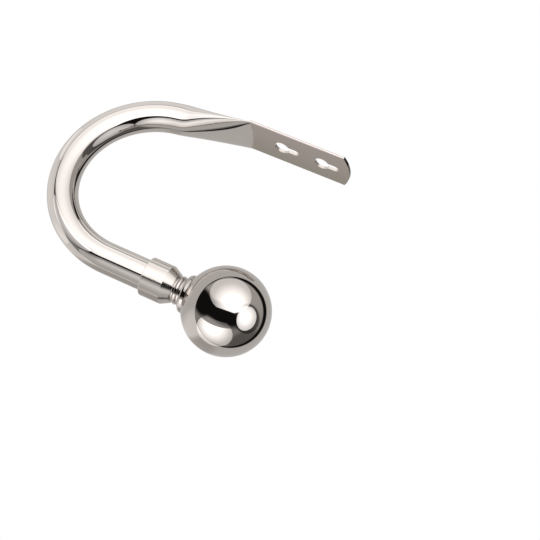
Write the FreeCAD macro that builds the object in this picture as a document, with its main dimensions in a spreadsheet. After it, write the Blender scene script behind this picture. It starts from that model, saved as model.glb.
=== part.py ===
"""Curtain holdback: a U-bent tube with a flattened keyhole tab and a ball finial.

Millimetres. The tab lies flat on the wall plane Y = 0 and the arm stands out towards -Y.
+Z is up, and the origin is midway between the two keyhole entries, on the wall plane.
"""
import FreeCAD, Part
import math
import os

import Sketcher

# Driving dimensions, in millimetres and degrees
DIMENSIONS = {
    # Tube and bend
    "tube_diameter": 16.0,
    "tube_wall": 0.75,
    "arm_lean": 10.5,
    "leg_run": 2.0,
    "bend_radius": 45.0,
    "front_splay": 1.5,
    "front_leg": 67.3,
    # Flattened end
    "flatten_length": 38.0,
    "wall_setoff": 0.3,
    "tab_length": 55.0,
    "tab_end_sagitta": 3.2,
    "crease_rise": 3.0,
    "sunk_inset": 0.1,
    # Keyholes
    "keyhole_entry": 8.0,
    "keyhole_slot": 4.0,
    "keyhole_reach": 7.3,
    "keyhole_pitch": 22.4,
    "crease_to_entry": 17.0,
    # Collar
    "collar_wall": 1.95,
    "collar_length": 11.5,
    "collar_chamfer": 0.4,
    "cone_length": 4.5,
    "cone_tip_diameter": 15.2,
    "tube_stop": 1.0,
    # Neck, from the flange to the cone
    "flange_rim": 0.9,
    "flange_round": 2.3,
    "neck_core_diameter": 12.8,
    "bead_two_width": 1.6,
    "bead_one_width": 2.1,
    "ring_width": 1.0,
    "neck_land": 0.25,
    # Ball and its bush
    "ball_diameter": 45.0,
    "ball_wall": 1.2,
    "bush_shank": 9.0,
    "bush_flange": 13.0,
    "bush_depth": 5.5,
    "bush_recess": 0.2,
    # Stud and plug
    "stud_diameter": 6.0,
    "stud_chamfer": 0.6,
    "stud_margin": 1.0,
    "plug_length": 14.0,
    # Clearances
    "slip_gap": 0.05,
    "seat_gap": 0.03,
    "stud_gap": 0.2,
}

# Values worked out from the driving dimensions
WORKED = {
    "tube_radius": "dims.tube_diameter / 2",
    "bore_radius": "dims.tube_diameter / 2 - dims.tube_wall",
    "tab_thickness": "2 * dims.tube_wall",
    "tab_width": "pi * (dims.tube_diameter - 2 * dims.tube_wall) / 2 + 2 * dims.tube_wall",
    "tab_half": "worked.tab_width / 2",
    "tab_flat_half": "worked.tab_half - dims.tube_wall",
    "crease_x": "-(dims.crease_to_entry + dims.keyhole_pitch / 2)",
    "tab_end_x": "worked.crease_x + dims.tab_length",
    # The blank that trims the tab is wider than the tab by one wall each side
    "blank_half": "worked.tab_half + dims.tube_wall",
    "end_radius": "(worked.tab_half ^ 2 + dims.tab_end_sagitta ^ 2) / (2 * dims.tab_end_sagitta)",
    "end_corner_x": (
        "worked.tab_end_x - worked.end_radius + sqrt(worked.end_radius ^ 2 - worked.blank_half ^ 2)"
    ),
    # Stock and cutters run well past what they trim
    "stock_length": "4 * dims.tab_length",
    "blank_depth": "4 * worked.tab_thickness",
    "cutter_depth": "3 * worked.tab_thickness",
    "crease_corner_x": "worked.crease_x - dims.crease_rise / 2",
    "crease_radius": "(worked.blank_half ^ 2 + dims.crease_rise ^ 2) / (2 * dims.crease_rise)",
    # Centre line of the arm, in the plane Z = 0
    "axis_y": "-(dims.tube_wall + dims.wall_setoff)",
    "arm_heading": "180 + dims.arm_lean",
    "arm_leg": "dims.flatten_length + dims.leg_run",
    "tube_start_x": "worked.crease_x - dims.flatten_length * cos(dims.arm_lean)",
    "tube_start_y": "worked.axis_y - dims.flatten_length * sin(dims.arm_lean)",
    "bend_start_x": "worked.crease_x - worked.arm_leg * cos(dims.arm_lean)",
    "bend_start_y": "worked.axis_y - worked.arm_leg * sin(dims.arm_lean)",
    "bend_x": "worked.bend_start_x + dims.bend_radius * sin(dims.arm_lean)",
    "bend_y": "worked.bend_start_y - dims.bend_radius * cos(dims.arm_lean)",
    "bend_end_x": "worked.bend_x - dims.bend_radius * sin(dims.front_splay)",
    "bend_end_y": "worked.bend_y - dims.bend_radius * cos(dims.front_splay)",
    "ball_x": "worked.bend_end_x + dims.front_leg * cos(dims.front_splay)",
    "ball_y": "worked.bend_end_y - dims.front_leg * sin(dims.front_splay)",
    "leg_turn": "180 - dims.front_splay",
    # The flange is as wide as the collar
    "collar_bore": "worked.tube_radius + dims.slip_gap",
    "collar_radius": "worked.collar_bore + dims.collar_wall",
    "flange_radius": "worked.collar_radius",
    # Stations along the front leg, measured from the ball's centre towards the tube
    "ball_radius": "dims.ball_diameter / 2",
    "shell_radius": "dims.ball_diameter / 2 - dims.ball_wall",
    "hole_radius": "dims.bush_shank / 2 + dims.slip_gap",
    "hole_outer": "sqrt(worked.ball_radius ^ 2 - worked.hole_radius ^ 2)",
    "hole_inner": "sqrt(worked.shell_radius ^ 2 - worked.hole_radius ^ 2)",
    "ball_far": "-worked.ball_radius",
    "shell_far": "-worked.shell_radius",
    "seat_radius": "worked.ball_radius + dims.seat_gap",
    "flange_edge": "sqrt(worked.seat_radius ^ 2 - worked.flange_radius ^ 2)",
    "flange_crown": "worked.flange_edge + dims.flange_rim",
    "flange_back": "worked.flange_crown + dims.flange_round",
    "flange_root": "worked.flange_radius - dims.flange_round",
    "core_radius": "dims.neck_core_diameter / 2",
    "bead_two_end": "worked.flange_back + dims.bead_two_width",
    "bead_one_end": "worked.bead_two_end + dims.bead_one_width",
    "ring_end": "worked.bead_one_end + dims.ring_width",
    "neck_end": "worked.ring_end + dims.neck_land",
    "stud_radius": "dims.stud_diameter / 2",
    "stud_hole": "worked.stud_radius + dims.stud_gap",
    "thread_radius": "worked.stud_radius + dims.slip_gap",
    "seat_bore": "sqrt(worked.seat_radius ^ 2 - worked.stud_hole ^ 2)",
    "cone_tip": "worked.neck_end + dims.seat_gap",
    "cone_tip_radius": "dims.cone_tip_diameter / 2",
    "cone_base": "worked.cone_tip + dims.cone_length",
    "collar_stop": "worked.cone_base + dims.tube_stop",
    "collar_rim": "worked.cone_base + dims.collar_length",
    "rim_start": "worked.collar_rim - dims.collar_chamfer",
    "rim_radius": "worked.collar_radius - dims.collar_chamfer",
    "tube_end": "worked.collar_stop + dims.seat_gap",
    "tube_end_x": "worked.ball_x - worked.tube_end * cos(dims.front_splay)",
    "tube_end_y": "worked.ball_y + worked.tube_end * sin(dims.front_splay)",
    "plug_radius": "worked.bore_radius - dims.slip_gap",
    "plug_end": "worked.tube_end + dims.plug_length",
    "bush_radius": "dims.bush_shank / 2",
    "bush_flange_radius": "dims.bush_flange / 2",
    "bush_seat": "worked.shell_radius - dims.seat_gap",
    "bush_seat_outer": "sqrt(worked.bush_seat ^ 2 - worked.bush_flange_radius ^ 2)",
    "bush_seat_inner": "sqrt(worked.bush_seat ^ 2 - worked.bush_radius ^ 2)",
    "bush_end": "worked.hole_outer - dims.bush_recess",
    "bush_start": "worked.bush_end - dims.bush_depth",
    "stud_start": "worked.bush_start + dims.stud_margin",
    "stud_end": "worked.plug_end - dims.stud_margin",
    "stud_tip_radius": "worked.stud_radius - dims.stud_chamfer",
    "stud_start_shoulder": "worked.stud_start + dims.stud_chamfer",
    "stud_end_shoulder": "worked.stud_end - dims.stud_chamfer",
}

# How far along the flattened length each section of the tube's outside and bore stands
SUNK_STATION = -0.05
OUTER_STATIONS = (SUNK_STATION, 0.0, 0.3, 0.6, 0.85, 0.93, 1.0)
BORE_STATIONS = (0.1, 0.3, 0.6, 0.85, 0.93, 1.0)
EASE_STATION = 0.85

doc = FreeCAD.newDocument("curtain_holdback")


def fill_sheet(name, cells):
    """Add a spreadsheet with one aliased row for each cell."""
    sheet = doc.addObject("Spreadsheet::Sheet", name)
    for row, (alias, text) in enumerate(cells.items(), start=1):
        sheet.set(f"A{row}", alias)
        sheet.setAlias(f"B{row}", alias)
        sheet.set(f"B{row}", text)
    doc.recompute()
    return sheet


dims = fill_sheet("dims", {alias: str(size) for alias, size in DIMENSIONS.items()})
worked = fill_sheet(
    "worked",
    {alias: "=" + formula.replace("worked.", "") for alias, formula in WORKED.items()},
)


def formula_of(alias):
    """Return the expression that reads a cell."""
    return f"dims.{alias}" if alias in DIMENSIONS else f"worked.{alias}"


def size_of(alias):
    """Return a cell's value as a plain number."""
    return float(getattr(dims if alias in DIMENSIONS else worked, alias))


def tie(sketch, kind, geometry, position, alias):
    """Hold one coordinate of a sketch point at a cell's value."""
    index = sketch.addConstraint(Sketcher.Constraint(kind, -1, 1, geometry, position, size_of(alias)))
    sketch.setExpression(f"Constraints[{index}]", formula_of(alias))


def vector(first, second):
    """Return a sketch point from two cells."""
    return FreeCAD.Vector(size_of(first), size_of(second), 0)


def upper_arc(start, end, centre_y):
    """Return the arc over the centre that joins two points, and whether it starts at the first."""
    span = end.x - start.x
    rise = (end.y - centre_y) ** 2 - (start.y - centre_y) ** 2
    centre = FreeCAD.Vector((start.x + end.x) / 2 + rise / (2 * span), centre_y, 0)
    angles = [math.atan2(point.y - centre_y, point.x - centre.x) for point in (start, end)]
    circle = Part.Circle(centre, FreeCAD.Vector(0, 0, 1), (start - centre).Length)
    return Part.ArcOfCircle(circle, min(angles), max(angles)), angles[0] < angles[1]


def draw_profile(sketch, corners):
    """Draw a closed half section.

    Each corner is (station cell, radius cell), with None for a point on the axis. A third
    entry makes the stretch to the next corner an arc and names the radius cell of the arc's
    centre, with "axis" for a centre on the axis.
    """
    points = []
    for corner in corners:
        radius = 0.0 if corner[1] is None else size_of(corner[1])
        points.append(FreeCAD.Vector(size_of(corner[0]), radius, 0))
    ends = []
    for number, corner in enumerate(corners):
        start = points[number]
        end = points[(number + 1) % len(points)]
        forward = True
        if len(corner) == 2:
            stretch = Part.LineSegment(start, end)
        else:
            centre_y = 0.0 if corner[2] == "axis" else size_of(corner[2])
            stretch, forward = upper_arc(start, end, centre_y)
        geometry = sketch.addGeometry(stretch, False)
        ends.append((geometry, 1, 2) if forward else (geometry, 2, 1))
    for number, corner in enumerate(corners):
        geometry, first, _ = ends[number]
        before, _, last = ends[number - 1]
        sketch.addConstraint(Sketcher.Constraint("Coincident", before, last, geometry, first))
        tie(sketch, "DistanceX", geometry, first, corner[0])
        if corner[1] is None:
            sketch.addConstraint(Sketcher.Constraint("PointOnObject", geometry, first, -1))
        else:
            tie(sketch, "DistanceY", geometry, first, corner[1])
        if len(corner) == 3 and corner[2] == "axis":
            sketch.addConstraint(Sketcher.Constraint("PointOnObject", geometry, 3, -1))
        elif len(corner) == 3:
            tie(sketch, "DistanceY", geometry, 3, corner[2])


def turned_piece(label, corners):
    """Revolve a half section about the front leg's axis, with its origin at the ball's centre."""
    body = doc.addObject("PartDesign::Body", label)
    plane = next(item for item in body.Origin.OriginFeatures if item.Role == "XY_Plane")
    sketch = body.newObject("Sketcher::SketchObject", label + "_section")
    sketch.AttachmentSupport = (plane, [""])
    sketch.MapMode = "FlatFace"
    draw_profile(sketch, corners)
    turning = body.newObject("PartDesign::Revolution", label + "_turning")
    turning.Profile = sketch
    turning.ReferenceAxis = (sketch, ["H_Axis"])
    turning.Angle = 360.0
    body.Tip = turning
    body.setExpression(
        "Placement",
        "placement(vector(worked.ball_x; worked.ball_y; 0); rotation(vector(0; 0; 1); worked.leg_turn))",
    )
    return body


def flattening(station):
    """Return how round the tube is at a station, from 0 at the crease to 1 at the full tube."""
    slope = 2 / (1 + EASE_STATION)
    if station <= EASE_STATION:
        return slope * station
    return 1 - (1 - station) ** 2 * slope / (2 * (1 - EASE_STATION))


def flattened_section(name, station, inset):
    """Add an elliptical section across the leaning arm, drawn in by an inset formula."""
    roundness = flattening(station)
    section = doc.addObject("Part::Ellipse", name)
    narrowing = f"(worked.tab_half - worked.tube_radius) * {roundness} ^ 2"
    deepening = f"(worked.tube_radius - dims.tube_wall) * {roundness}"
    section.setExpression("MajorRadius", f"worked.tab_half - {narrowing} - {inset}")
    section.setExpression("MinorRadius", f"dims.tube_wall + {deepening} - {inset}")
    along = f"{station} * dims.flatten_length"
    section.setExpression(
        "Placement",
        f"placement(vector(worked.crease_x - {along} * cos(dims.arm_lean);"
        f" worked.axis_y - {along} * sin(dims.arm_lean); 0);"
        " rotation(vector(0; 0; 1); worked.arm_heading) * rotation(vector(1; 0; 1); 180))",
    )
    return section


def loft(name, sections):
    """Loft a closed solid through sections."""
    solid = doc.addObject("Part::Loft", name)
    solid.Sections = sections
    solid.Solid = True
    solid.Ruled = False
    return solid


def sweep(name, section, spine):
    """Sweep a section along the whole centre line."""
    solid = doc.addObject("Part::Sweep", name)
    solid.Sections = [section]
    solid.Spine = (spine, ["Edge1", "Edge2", "Edge3"])
    solid.Solid = True
    solid.Frenet = True
    return solid


def fuse(name, shapes):
    """Join shapes into one."""
    joined = doc.addObject("Part::MultiFuse", name)
    joined.Shapes = shapes
    return joined


def cut(name, base, tool):
    """Take one shape out of another."""
    rest = doc.addObject("Part::Cut", name)
    rest.Base = base
    rest.Tool = tool
    return rest


def extrude(name, sketch, direction, length):
    """Extrude a sketch both ways along an axis, by a length formula in all."""
    solid = doc.addObject("Part::Extrusion", name)
    solid.Base = sketch
    solid.DirMode = "Custom"
    solid.Dir = direction
    solid.Solid = True
    solid.Symmetric = True
    solid.setExpression("LengthFwd", length)
    return solid


def arm_centreline():
    """Draw the arm's centre line: leaning leg, bend and front leg."""
    sketch = doc.addObject("Sketcher::SketchObject", "arm_centreline")
    leg_start = vector("tube_start_x", "tube_start_y")
    bend_start = vector("bend_start_x", "bend_start_y")
    bend_end = vector("bend_end_x", "bend_end_y")
    leg_end = vector("tube_end_x", "tube_end_y")
    centre = vector("bend_x", "bend_y")
    circle = Part.Circle(centre, FreeCAD.Vector(0, 0, 1), size_of("bend_radius"))
    first_angle = math.radians(90 + size_of("arm_lean"))
    last_angle = math.radians(270 - size_of("front_splay"))
    leg = sketch.addGeometry(Part.LineSegment(leg_start, bend_start), False)
    bend = sketch.addGeometry(Part.ArcOfCircle(circle, first_angle, last_angle), False)
    front = sketch.addGeometry(Part.LineSegment(bend_end, leg_end), False)
    sketch.addConstraint(Sketcher.Constraint("Coincident", leg, 2, bend, 1))
    sketch.addConstraint(Sketcher.Constraint("Coincident", bend, 2, front, 1))
    held_points = (
        (leg, 1, "tube_start"),
        (bend, 1, "bend_start"),
        (front, 1, "bend_end"),
        (front, 2, "tube_end"),
    )
    for geometry, position, name in held_points:
        tie(sketch, "DistanceX", geometry, position, name + "_x")
        tie(sketch, "DistanceY", geometry, position, name + "_y")
    radius = sketch.addConstraint(Sketcher.Constraint("Radius", bend, size_of("bend_radius")))
    sketch.setExpression(f"Constraints[{radius}]", "dims.bend_radius")
    return sketch


def tab_stock():
    """Extrude the flattened tube's section, with fully rounded long edges, along X."""
    sketch = doc.addObject("Sketcher::SketchObject", "tab_section")
    flat_half = size_of("tab_flat_half")
    wall = size_of("tube_wall")
    top = FreeCAD.Vector(0, flat_half, 0)
    bottom = FreeCAD.Vector(0, -flat_half, 0)
    normal = FreeCAD.Vector(0, 0, 1)
    side = FreeCAD.Vector(wall, 0, 0)
    upper = sketch.addGeometry(Part.ArcOfCircle(Part.Circle(top, normal, wall), 0, math.pi), False)
    left = sketch.addGeometry(Part.LineSegment(top - side, bottom - side), False)
    lower_circle = Part.Circle(bottom, normal, wall)
    lower = sketch.addGeometry(Part.ArcOfCircle(lower_circle, math.pi, 2 * math.pi), False)
    right = sketch.addGeometry(Part.LineSegment(bottom + side, top + side), False)
    for before, last, after, first in ((upper, 2, left, 1), (left, 2, lower, 1), (lower, 2, right, 1),
                                       (right, 2, upper, 1)):
        sketch.addConstraint(Sketcher.Constraint("Tangent", before, last, after, first))
    sketch.addConstraint(Sketcher.Constraint("Vertical", left))
    sketch.addConstraint(Sketcher.Constraint("PointOnObject", upper, 3, -2))
    radius = sketch.addConstraint(Sketcher.Constraint("Radius", upper, wall))
    sketch.setExpression(f"Constraints[{radius}]", "dims.tube_wall")
    sketch.addConstraint(Sketcher.Constraint("Symmetric", upper, 3, lower, 3, -1, 1))
    tie(sketch, "DistanceY", upper, 3, "tab_flat_half")
    # The sketch's own X and Y become Y and Z, with the back of the tab on the wall plane
    sketch.setExpression(
        "Placement",
        "placement(vector(worked.crease_x; -dims.tube_wall; 0); rotation(vector(1; 1; 1); 120))",
    )
    return extrude("tab_stock", sketch, FreeCAD.Vector(1, 0, 0), "worked.stock_length")


def tab_blank():
    """Extrude the tab's outline: a rounded free end and an arched crease towards the arm."""
    sketch = doc.addObject("Sketcher::SketchObject", "tab_outline")
    half = size_of("blank_half")
    end_x = size_of("end_corner_x")
    crease_x = size_of("crease_corner_x")
    end_radius = size_of("end_radius")
    crease_radius = size_of("crease_radius")
    corners = [
        FreeCAD.Vector(crease_x, -half, 0),
        FreeCAD.Vector(end_x, -half, 0),
        FreeCAD.Vector(end_x, half, 0),
        FreeCAD.Vector(crease_x, half, 0),
    ]
    normal = FreeCAD.Vector(0, 0, 1)
    end_centre = FreeCAD.Vector(end_x - math.sqrt(end_radius ** 2 - half ** 2), 0, 0)
    crease_centre = FreeCAD.Vector(crease_x - math.sqrt(crease_radius ** 2 - half ** 2), 0, 0)
    end_angle = math.asin(half / end_radius)
    crease_angle = math.asin(half / crease_radius)
    end_circle = Part.Circle(end_centre, normal, end_radius)
    crease_circle = Part.Circle(crease_centre, normal, crease_radius)
    lower = sketch.addGeometry(Part.LineSegment(corners[0], corners[1]), False)
    end = sketch.addGeometry(Part.ArcOfCircle(end_circle, -end_angle, end_angle), False)
    upper = sketch.addGeometry(Part.LineSegment(corners[2], corners[3]), False)
    crease = sketch.addGeometry(Part.ArcOfCircle(crease_circle, -crease_angle, crease_angle), False)
    for before, last, after, first in ((lower, 2, end, 1), (end, 2, upper, 1), (upper, 2, crease, 2),
                                       (crease, 1, lower, 1)):
        sketch.addConstraint(Sketcher.Constraint("Coincident", before, last, after, first))
    sketch.addConstraint(Sketcher.Constraint("Symmetric", lower, 1, upper, 2, -1))
    sketch.addConstraint(Sketcher.Constraint("Symmetric", lower, 2, upper, 1, -1))
    tie(sketch, "DistanceX", upper, 2, "crease_corner_x")
    tie(sketch, "DistanceX", upper, 1, "end_corner_x")
    tie(sketch, "DistanceY", upper, 1, "blank_half")
    tie(sketch, "DistanceY", upper, 2, "blank_half")
    for arc, alias in ((end, "end_radius"), (crease, "crease_radius")):
        radius = sketch.addConstraint(Sketcher.Constraint("Radius", arc, size_of(alias)))
        sketch.setExpression(f"Constraints[{radius}]", formula_of(alias))
    sketch.Placement = FreeCAD.Placement(
        FreeCAD.Vector(0, 0, 0), FreeCAD.Rotation(FreeCAD.Vector(1, 0, 0), 90)
    )
    return extrude("tab_blank", sketch, FreeCAD.Vector(0, 1, 0), "worked.blank_depth")


def keyhole(name, offset):
    """Make a keyhole cutter: an entry hole with a slot towards the tab's free end."""
    entry = doc.addObject("Part::Cylinder", name + "_entry")
    entry.setExpression("Radius", "dims.keyhole_entry / 2")
    seat = doc.addObject("Part::Cylinder", name + "_seat")
    seat.setExpression("Radius", "dims.keyhole_slot / 2")
    slot = doc.addObject("Part::Box", name + "_slot")
    slot.setExpression("Length", "dims.keyhole_reach")
    slot.setExpression("Width", "dims.keyhole_slot")
    places = (
        (entry, offset, "0"),
        (seat, offset + " + dims.keyhole_reach", "0"),
        (slot, offset, "-dims.keyhole_slot / 2"),
    )
    for cutter, along, up in places:
        cutter.setExpression("Height", "worked.cutter_depth")
        cutter.setExpression(
            "Placement",
            f"placement(vector({along}; worked.tab_thickness; {up}); rotation(vector(1; 0; 0); 90))",
        )
    return fuse(name, [entry, seat, slot])


def arm_tube():
    """Build the bent tube with its flattened, keyholed end."""
    spine = arm_centreline()
    outer_ring = flattened_section("tube_outside", 1.0, "0")
    bore_ring = flattened_section("tube_bore", 1.0, "dims.tube_wall")
    bent_tube = cut(
        "bent_tube",
        sweep("tube_solid", outer_ring, spine),
        sweep("tube_hollow", bore_ring, spine),
    )
    # From the crease on, the tube's end is sunk in the tab
    outer_sections = [
        flattened_section(f"outer_section_{number}", station, "dims.sunk_inset" if station <= 0 else "0")
        for number, station in enumerate(OUTER_STATIONS)
    ]
    bore_sections = [
        flattened_section(f"bore_section_{number}", station, "dims.tube_wall")
        for number, station in enumerate(BORE_STATIONS)
    ]
    flattened_tube = cut(
        "flattened_tube",
        loft("flattened_solid", outer_sections),
        loft("flattened_hollow", bore_sections),
    )
    tab = doc.addObject("Part::Common", "tab")
    tab.Base = tab_stock()
    tab.Tool = tab_blank()
    keyholes = fuse(
        "keyholes",
        [
            keyhole("keyhole_inner", "-dims.keyhole_pitch / 2"),
            keyhole("keyhole_outer", "dims.keyhole_pitch / 2"),
        ],
    )
    return cut("arm_tube", fuse("arm_blank", [bent_tube, flattened_tube, tab]), keyholes)


pieces = [
    arm_tube(),
    turned_piece(
        "end_collar",
        [
            ("cone_tip", "stud_hole"),
            ("cone_tip", "cone_tip_radius"),
            ("cone_base", "collar_radius"),
            ("rim_start", "collar_radius"),
            ("collar_rim", "rim_radius"),
            ("collar_rim", "collar_bore"),
            ("collar_stop", "collar_bore"),
            ("collar_stop", "stud_hole"),
        ],
    ),
    turned_piece(
        "tube_plug",
        [
            ("tube_end", "thread_radius"),
            ("tube_end", "plug_radius"),
            ("plug_end", "plug_radius"),
            ("plug_end", "thread_radius"),
        ],
    ),
    turned_piece(
        "finial_neck",
        [
            ("flange_edge", "flange_radius"),
            ("flange_crown", "flange_radius", "flange_root"),
            ("flange_back", "flange_root"),
            ("flange_back", "core_radius", "core_radius"),
            ("bead_two_end", "core_radius", "core_radius"),
            ("bead_one_end", "core_radius", "core_radius"),
            ("ring_end", "core_radius"),
            ("neck_end", "core_radius"),
            ("neck_end", "stud_hole"),
            ("seat_bore", "stud_hole", "axis"),
        ],
    ),
    turned_piece(
        "finial_ball",
        [
            ("hole_outer", "hole_radius", "axis"),
            ("ball_far", None),
            ("shell_far", None, "axis"),
            ("hole_inner", "hole_radius"),
        ],
    ),
    turned_piece(
        "ball_nut",
        [
            ("bush_start", "thread_radius"),
            ("bush_start", "bush_flange_radius"),
            ("bush_seat_outer", "bush_flange_radius", "axis"),
            ("bush_seat_inner", "bush_radius"),
            ("bush_end", "bush_radius"),
            ("bush_end", "thread_radius"),
        ],
    ),
    turned_piece(
        "joining_stud",
        [
            ("stud_start", None),
            ("stud_start", "stud_tip_radius"),
            ("stud_start_shoulder", "stud_radius"),
            ("stud_end_shoulder", "stud_radius"),
            ("stud_end", "stud_tip_radius"),
            ("stud_end", None),
        ],
    ),
]
doc.recompute()

for item in doc.Objects:
    if "Invalid" in item.State or "Error" in item.State:
        raise RuntimeError(f"{item.Label} did not build: {item.State}")
for piece in pieces:
    if piece.Shape.isNull() or not piece.Shape.isValid():
        raise RuntimeError(f"{piece.Label} has no valid shape")

os.makedirs("parts", exist_ok=True)
for piece in pieces:
    piece.Shape.exportStep(os.path.join("parts", piece.Label + ".step"))
    box = piece.Shape.BoundBox
    solids = len(piece.Shape.Solids)
    print(f"{piece.Label}: {solids} solid, {piece.Shape.Volume:.1f} mm3,"
          f" X {box.XMin:.2f}..{box.XMax:.2f} Y {box.YMin:.2f}..{box.YMax:.2f}"
          f" Z {box.ZMin:.2f}..{box.ZMax:.2f}")
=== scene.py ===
"""Looks of the curtain holdback: fine meshes, finishes, studio and camera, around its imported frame.

Everything is in metres in the part's own frame: the wall is the plane Y = 0, +Z is up, and the
origin lies midway between the two keyhole entries.
"""
from __future__ import annotations

import logging
import math
from dataclasses import dataclass
from enum import Enum
from typing import Callable, Iterator, Sequence

import bpy
from mathutils import Matrix, Vector

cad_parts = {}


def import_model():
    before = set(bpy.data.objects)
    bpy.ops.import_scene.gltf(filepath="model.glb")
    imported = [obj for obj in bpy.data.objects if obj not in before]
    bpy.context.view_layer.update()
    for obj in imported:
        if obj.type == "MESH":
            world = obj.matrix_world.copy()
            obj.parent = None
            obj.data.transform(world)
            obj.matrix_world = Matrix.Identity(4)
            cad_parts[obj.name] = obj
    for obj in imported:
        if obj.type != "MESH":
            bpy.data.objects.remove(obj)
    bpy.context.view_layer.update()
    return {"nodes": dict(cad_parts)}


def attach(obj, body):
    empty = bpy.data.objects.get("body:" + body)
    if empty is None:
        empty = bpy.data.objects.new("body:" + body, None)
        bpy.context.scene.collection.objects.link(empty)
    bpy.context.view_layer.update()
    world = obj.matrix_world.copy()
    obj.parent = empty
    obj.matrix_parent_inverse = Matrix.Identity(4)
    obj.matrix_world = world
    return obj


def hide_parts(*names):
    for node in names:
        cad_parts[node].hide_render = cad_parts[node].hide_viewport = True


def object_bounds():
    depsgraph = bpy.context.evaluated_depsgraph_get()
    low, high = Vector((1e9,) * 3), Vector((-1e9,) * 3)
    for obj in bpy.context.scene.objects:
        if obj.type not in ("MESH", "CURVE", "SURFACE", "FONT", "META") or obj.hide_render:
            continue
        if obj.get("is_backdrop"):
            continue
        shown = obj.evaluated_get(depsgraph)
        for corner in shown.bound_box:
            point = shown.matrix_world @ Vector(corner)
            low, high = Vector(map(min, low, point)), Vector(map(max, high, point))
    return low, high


Colour = tuple[float, float, float]
Point = tuple[float, float]

LOG = logging.getLogger("holdback")
MM = 0.001
ROOT_BODY = "root"
SAME_POINT = 0.0005 * MM
X_AXIS = (1.0, 0.0, 0.0)
Y_AXIS = (0.0, 1.0, 0.0)
Z_AXIS = (0.0, 0.0, 1.0)
WHITE = (1.0, 1.0, 1.0)
BLACK = (0.0, 0.0, 0.0)


class Slot(Enum):
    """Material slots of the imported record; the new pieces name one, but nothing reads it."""

    POLISHED = "polished_nickel"
    SATIN = "satin_nickel"


class Lit(Enum):
    """Which pieces a softbox is turned on."""

    BALL = "ball"
    ARM = "arm"


# Shader expressions


class Sock:
    """A shader socket that takes part in Python arithmetic."""

    def __init__(self, graph: "Graph", socket: bpy.types.NodeSocket) -> None:
        """Wrap an output socket of a graph's node."""
        self.graph = graph
        self.socket = socket

    def __add__(self, other: "Sock | float") -> "Sock":
        """Return self + other."""
        return self.graph.math("ADD", self, other)

    def __radd__(self, other: float) -> "Sock":
        """Return other + self."""
        return self.graph.math("ADD", other, self)

    def __sub__(self, other: "Sock | float") -> "Sock":
        """Return self - other."""
        return self.graph.math("SUBTRACT", self, other)

    def __rsub__(self, other: float) -> "Sock":
        """Return other - self."""
        return self.graph.math("SUBTRACT", other, self)

    def __mul__(self, other: "Sock | float") -> "Sock":
        """Return self * other."""
        return self.graph.math("MULTIPLY", self, other)

    def __rmul__(self, other: float) -> "Sock":
        """Return other * self."""
        return self.graph.math("MULTIPLY", other, self)


class Graph:
    """A node tree that is filled by expressions."""

    def __init__(self, tree: bpy.types.NodeTree) -> None:
        """Empty the tree of a material, a lamp or the world."""
        self.tree = tree
        tree.nodes.clear()

    def node(self, kind: str, settings: dict | None = None, inputs: dict | None = None) -> bpy.types.Node:
        """Add a node, set it up and feed its sockets.

        Args:
            kind: the node's type name.
            settings: node properties, set first.
            inputs: values or sockets by input name or number.

        Returns:
            The new node.
        """
        made = self.tree.nodes.new(kind)
        for name, value in (settings or {}).items():
            setattr(made, name, value)
        for key, value in (inputs or {}).items():
            if isinstance(value, Sock):
                self.tree.links.new(value.socket, made.inputs[key])
            else:
                made.inputs[key].default_value = value
        return made

    def out(
        self, kind: str, settings: dict | None = None, inputs: dict | None = None, output: str | int = 0
    ) -> Sock:
        """Add a node and return one of its outputs."""
        return Sock(self, self.node(kind, settings, inputs).outputs[output])

    def math(self, operation: str, *values: "Sock | float") -> Sock:
        """Add a Math node on its values."""
        return self.out("ShaderNodeMath", {"operation": operation}, dict(enumerate(values)))

    def distance(self, across: Sock, rise: Sock) -> Sock:
        """Return the distance of a flat place from the middle."""
        return self.math("SQRT", across * across + rise * rise)

    def step(self, value: Sock, low: float, high: float) -> Sock:
        """Return 0 below low, 1 above high and a smooth rise between."""
        settings = {"interpolation_type": "SMOOTHSTEP"}
        return self.out("ShaderNodeMapRange", settings, {"Value": value, "From Min": low, "From Max": high})

    def edge(self, value: Sock, at: float, blur: float) -> Sock:
        """Return 0 before an edge and 1 past it, blurred to both sides."""
        return self.step(value, at - blur, at + blur)

    def along(self, vector: Sock, axis: Sequence[float]) -> Sock:
        """Return a vector's length along an axis."""
        settings = {"operation": "DOT_PRODUCT"}
        return self.out("ShaderNodeVectorMath", settings, {0: vector, 1: tuple(axis)}, "Value")

    def noise(self, vector: Sock, scale: float, detail: float) -> Sock:
        """Return smooth noise from 0 to 1 at a scale per metre."""
        return self.out("ShaderNodeTexNoise", None, {"Vector": vector, "Scale": scale, "Detail": detail})

    def lines(self, distance: Sock, scale: float, detail: float) -> Sock:
        """Return noise that changes along one distance only, as turning lines do."""
        settings = {"noise_dimensions": "1D"}
        return self.out("ShaderNodeTexNoise", settings, {"W": distance, "Scale": scale, "Detail": detail})

    def mix(self, factor: Sock, first: "Sock | Sequence[float]", second: "Sock | Sequence[float]") -> Sock:
        """Return a colour between two colours."""
        first, second = (end if isinstance(end, Sock) else (*end, 1.0) for end in (first, second))
        return self.out("ShaderNodeMix", {"data_type": "RGBA"}, {"Factor": factor, 6: first, 7: second}, 2)

    def camera_ray(self) -> Sock:
        """Return 1 for what the camera sees directly and 0 for all other light."""
        return self.out("ShaderNodeLightPath", output="Is Camera Ray")


# Finishes


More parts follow.
